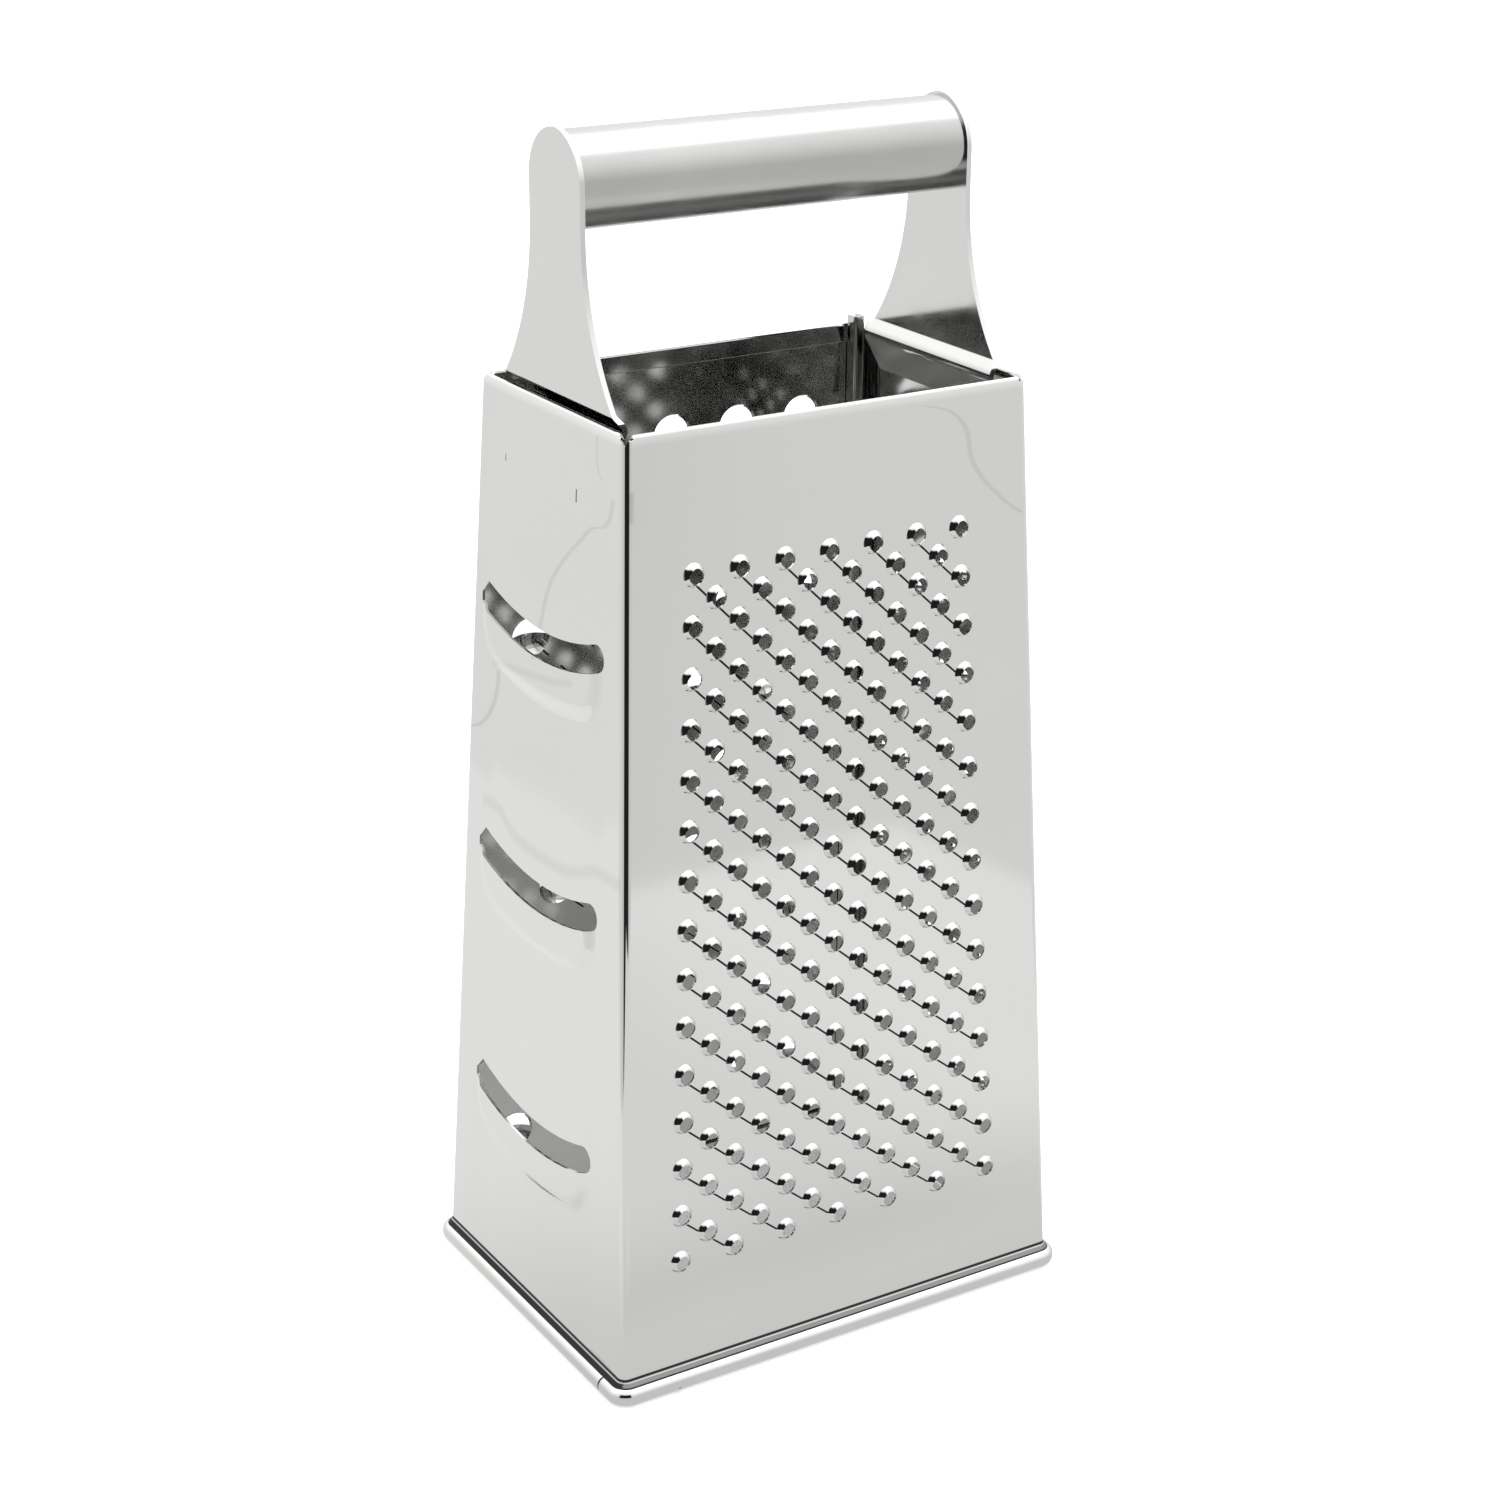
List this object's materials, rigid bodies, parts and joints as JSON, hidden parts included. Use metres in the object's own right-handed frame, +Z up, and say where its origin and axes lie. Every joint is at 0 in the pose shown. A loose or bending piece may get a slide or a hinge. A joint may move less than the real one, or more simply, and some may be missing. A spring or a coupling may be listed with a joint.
{
  "type": "box grater",
  "caption": "Four-sided tapered box grater of polished sheet steel with grating teeth, curved slicing slots, a rolled foot rim and a round tube handle.",
  "frame": {"origin": "centre of the foot rim on the surface that the grater stands on", "axes": "+Z up to the handle, -Y toward the wide front grating face, -X toward the slicing face, X along the handle tube"},
  "size_m": [0.1034, 0.0764, 0.2313],
  "materials": {
    "polished_sheet": "polished stainless steel sheet",
    "seam_steel": "bright stainless strip",
    "rim_steel": "polished stainless strip",
    "bracket_steel": "satin polished stainless plate",
    "tube_steel": "polished stainless tube",
    "plug_steel": "plain pressed steel"
  },
  "bodies": {
    "root": {"body_sheet": "polished_sheet", "seam_strip": "seam_steel", "base_rim": "rim_steel", "left_handle_bracket": "bracket_steel", "right_handle_bracket": "bracket_steel", "handle_tube": "tube_steel", "left_tube_plug": "plug_steel", "right_tube_plug": "plug_steel"}
  },
  "joints": []
}
